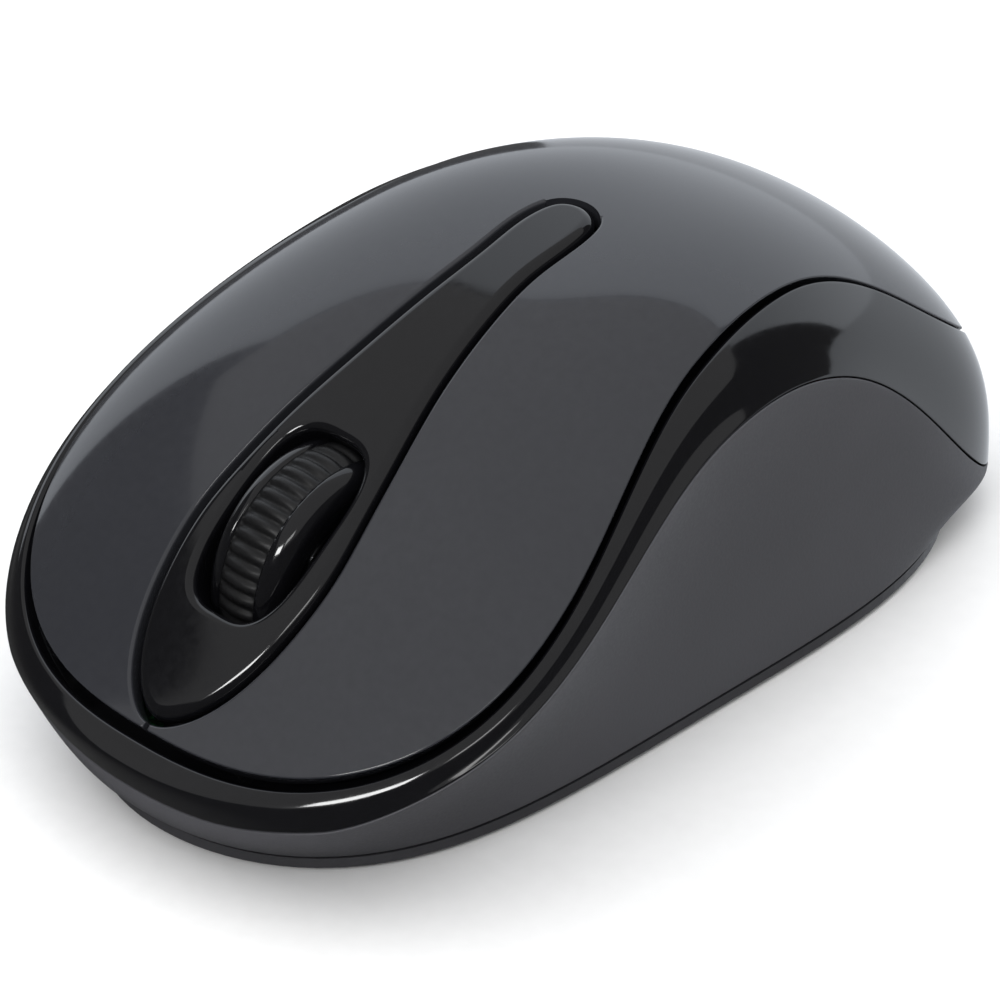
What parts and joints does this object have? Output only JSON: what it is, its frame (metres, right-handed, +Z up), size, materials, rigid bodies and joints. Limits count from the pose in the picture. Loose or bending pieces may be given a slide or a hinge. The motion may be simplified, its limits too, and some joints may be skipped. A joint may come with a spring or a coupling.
{
  "type": "computer mouse",
  "caption": "Cordless computer mouse: flexing button cover, spoon-shaped centre trim, ribbed scroll wheel, gloss band, waisted matte grips, battery door underneath.",
  "frame": {"origin": "on the desk surface, under the middle of the mouse's box", "axes": "+Z up, front (wheel end) toward -Y, tail toward +Y, left (thumb) side toward +X"},
  "size_m": [0.0574, 0.0978, 0.0398],
  "materials": {
    "base_plastic": "fine matte",
    "case_matte": "soft matte",
    "band_gloss": "high gloss",
    "cover_gloss": "high gloss",
    "trim_gloss": "high gloss",
    "wheel_rubber": "matte",
    "inner_plastic": "moulded",
    "steel_pin": "plain",
    "board_green": "solder mask",
    "plunger_plastic": "moulded",
    "lens_clear": "clear",
    "cell_sleeve": "printed sleeve",
    "feet_plastic": "smooth"
  },
  "bodies": {
    "root": {"base_plate": "base_plastic", "lower_case": "case_matte", "side_band": "band_gloss", "palm_cover": "cover_gloss", "centre_trim": "trim_gloss", "carrier_pin": "steel_pin", "circuit_board": "board_green", "left_switch": "inner_plastic", "right_switch": "inner_plastic", "middle_switch": "inner_plastic", "encoder_emitter": "inner_plastic", "encoder_detector": "inner_plastic", "sensor_chip": "inner_plastic", "sensor_lens": "lens_clear", "sensor_light": "plunger_plastic", "radio_chip": "inner_plastic", "crystal": "steel_pin", "capacitors": "inner_plastic", "battery_cell": "cell_sleeve", "front_contact": "steel_pin", "rear_contact": "steel_pin", "power_switch": "inner_plastic", "front_feet": "feet_plastic", "rear_feet": "feet_plastic", "case_screws": "steel_pin", "board_screws": "steel_pin", "receiver_cap": "inner_plastic", "receiver_plug": "steel_pin"},
    "left_button": {"left_button": "cover_gloss"},
    "right_button": {"right_button": "cover_gloss"},
    "left_plunger": {"left_plunger": "plunger_plastic"},
    "right_plunger": {"right_plunger": "plunger_plastic"},
    "carrier": {"wheel_carrier": "inner_plastic"},
    "wheel": {"wheel_tyre": "wheel_rubber", "wheel_core": "inner_plastic", "left_wheel_disc": "trim_gloss", "right_wheel_disc": "trim_gloss", "wheel_axle": "steel_pin"},
    "middle_plunger": {"middle_plunger": "plunger_plastic"},
    "door": {"battery_door": "base_plastic"},
    "knob": {"power_knob": "plunger_plastic"}
  },
  "joints": [
    {"name": "left_click", "type": "hinge", "parent": "root", "child": "left_button", "pos_m": [0.014, 0.005, 0.0375], "axis": [1, 0, 0], "range_deg": [0, 0.9], "stiffness_Nm_per_rad": 1.2},
    {"name": "right_click", "type": "hinge", "parent": "root", "child": "right_button", "pos_m": [-0.014, 0.005, 0.0375], "axis": [1, 0, 0], "range_deg": [0, 0.9], "stiffness_Nm_per_rad": 1.2},
    {"name": "left_plunger_slide", "type": "slide", "parent": "root", "child": "left_plunger", "axis": [0, 0, -1], "range_m": [0, 0.0006]},
    {"name": "right_plunger_slide", "type": "slide", "parent": "root", "child": "right_plunger", "axis": [0, 0, -1], "range_m": [0, 0.0006]},
    {"name": "wheel_press", "type": "hinge", "parent": "root", "child": "carrier", "pos_m": [0, -0.0129, 0.0128], "axis": [1, 0, 0], "range_deg": [0, 1.5], "stiffness_Nm_per_rad": 0.6},
    {"name": "middle_plunger_slide", "type": "slide", "parent": "root", "child": "middle_plunger", "axis": [0, 0, -1], "range_m": [0, 0.0007]},
    {"name": "wheel_spin", "type": "hinge", "parent": "carrier", "child": "wheel", "pos_m": [0, -0.025, 0.0182], "axis": [1, 0, 0], "continuous": true},
    {"name": "door_slide", "type": "slide", "parent": "root", "child": "door", "axis": [0, 1, 0], "range_m": [0, 0.012]},
    {"name": "power_slide", "type": "slide", "parent": "root", "child": "knob", "axis": [0, 1, 0], "range_m": [0, 0.002]}
  ],
  "couplings": [
    {"joint": "left_plunger_slide", "follows": "left_click", "m_per_rad": 0.033},
    {"joint": "right_plunger_slide", "follows": "right_click", "m_per_rad": 0.033},
    {"joint": "middle_plunger_slide", "follows": "wheel_press", "m_per_rad": 0.0251}
  ]
}
